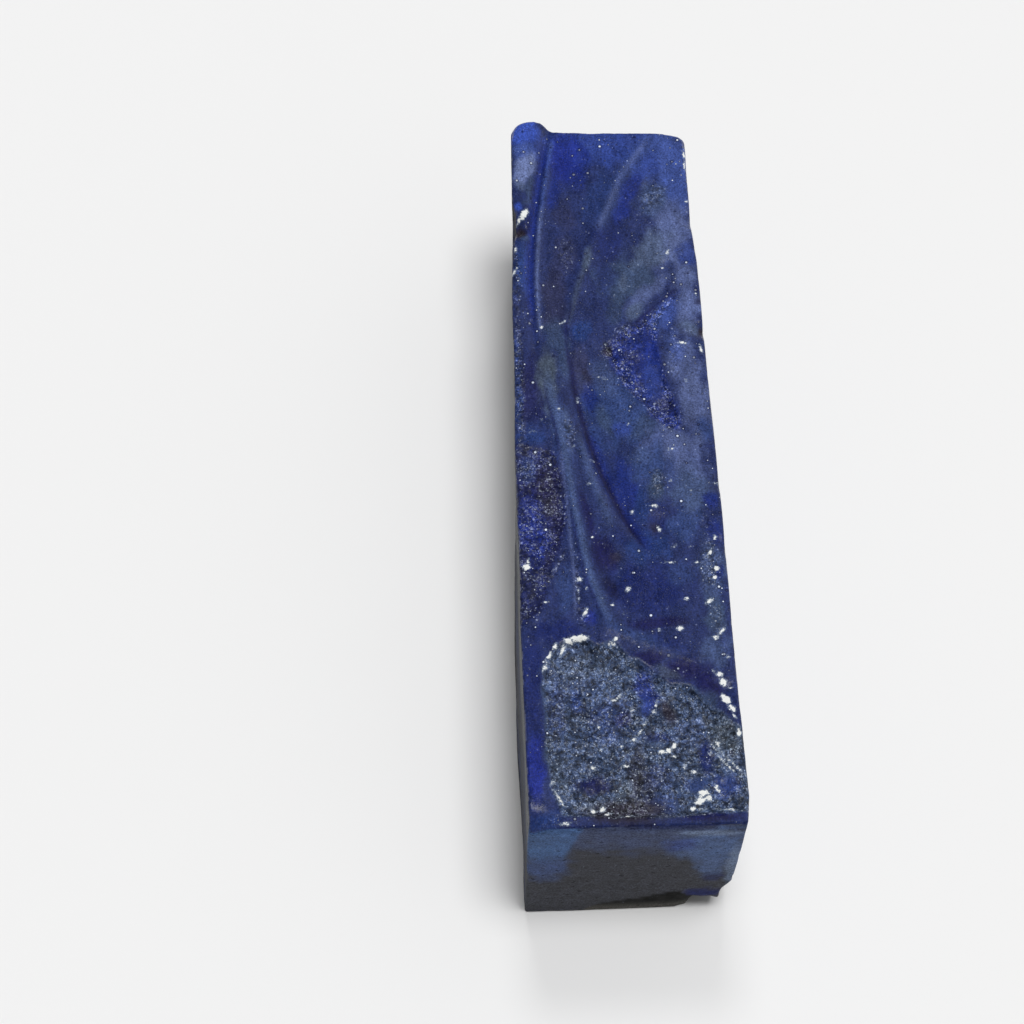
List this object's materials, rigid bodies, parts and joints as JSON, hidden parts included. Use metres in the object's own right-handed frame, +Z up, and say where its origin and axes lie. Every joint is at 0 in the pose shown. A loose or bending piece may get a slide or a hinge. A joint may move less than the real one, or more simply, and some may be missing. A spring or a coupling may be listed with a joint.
{
  "type": "rough sapphire",
  "caption": "Rough dark blue sapphire bar with sawn sides and end, a folded glassy break along its top and a sugary scar, lying flat as a loose mineral specimen.",
  "frame": {"origin": "on the ground, under the middle of the bar's bounding box", "axes": "+Z up from the flat underside, Y along the bar's length with the sawn end towards -Y, +X across it"},
  "size_m": [0.0224, 0.0862, 0.0249],
  "materials": {
    "stone": "dark blue glassy broken stone with milky haze, sugary scars and dull saw-cut faces"
  },
  "bodies": {
    "root": {"rough_sapphire": "stone"}
  },
  "joints": []
}
